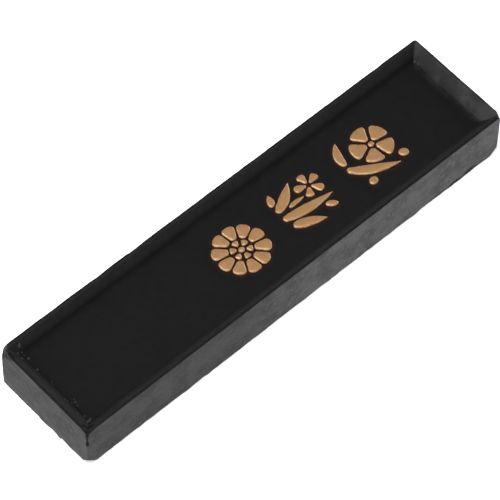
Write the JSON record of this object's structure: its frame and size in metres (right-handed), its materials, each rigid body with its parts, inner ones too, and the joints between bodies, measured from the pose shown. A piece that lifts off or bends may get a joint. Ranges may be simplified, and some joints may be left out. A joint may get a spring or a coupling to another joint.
{
  "type": "ink stick",
  "caption": "Rectangular pressed ink stick with a sunken front panel, a coved rim and gilded flower reliefs, rubbed down with water on an ink stone.",
  "frame": {"origin": "middle of the back, which is the face that the stick lies on", "axes": "+X along the stick towards its top end, away from the end that is rubbed down; +Z out of the front panel; +Y across the stick"},
  "size_m": [0.097, 0.0224, 0.0115],
  "materials": {
    "ink": "dense black soot and glue, satin on the front panel, greyer and mottled on the sides",
    "gilding": "matt bronze-gold paint, brushed on the raised strokes"
  },
  "bodies": {
    "root": {"ink_block": "ink", "gilt_chrysanthemum_outer_petal_1": "gilding", "gilt_chrysanthemum_outer_petal_2": "gilding", "gilt_chrysanthemum_outer_petal_3": "gilding", "gilt_chrysanthemum_outer_petal_4": "gilding", "gilt_chrysanthemum_outer_petal_5": "gilding", "gilt_chrysanthemum_outer_petal_6": "gilding", "gilt_chrysanthemum_outer_petal_7": "gilding", "gilt_chrysanthemum_outer_petal_8": "gilding", "gilt_chrysanthemum_outer_petal_9": "gilding", "gilt_chrysanthemum_outer_petal_10": "gilding", "gilt_chrysanthemum_inner_petal_1": "gilding", "gilt_chrysanthemum_inner_petal_2": "gilding", "gilt_chrysanthemum_inner_petal_3": "gilding", "gilt_chrysanthemum_inner_petal_4": "gilding", "gilt_chrysanthemum_inner_petal_5": "gilding", "gilt_chrysanthemum_inner_petal_6": "gilding", "gilt_chrysanthemum_heart": "gilding", "gilt_orchid_petal_1": "gilding", "gilt_orchid_petal_2": "gilding", "gilt_orchid_petal_3": "gilding", "gilt_orchid_petal_4": "gilding", "gilt_orchid_petal_5": "gilding", "gilt_orchid_stalk": "gilding", "gilt_orchid_bud": "gilding", "gilt_orchid_tall_leaf": "gilding", "gilt_orchid_left_leaf": "gilding", "gilt_orchid_right_leaf": "gilding", "gilt_orchid_low_leaf": "gilding", "gilt_plum_petal_1": "gilding", "gilt_plum_petal_2": "gilding", "gilt_plum_petal_3": "gilding", "gilt_plum_petal_4": "gilding", "gilt_plum_petal_5": "gilding", "gilt_plum_heart": "gilding", "gilt_plum_branch": "gilding", "gilt_plum_twig": "gilding", "gilt_plum_upper_bud": "gilding", "gilt_plum_lower_bud": "gilding"}
  },
  "joints": []
}
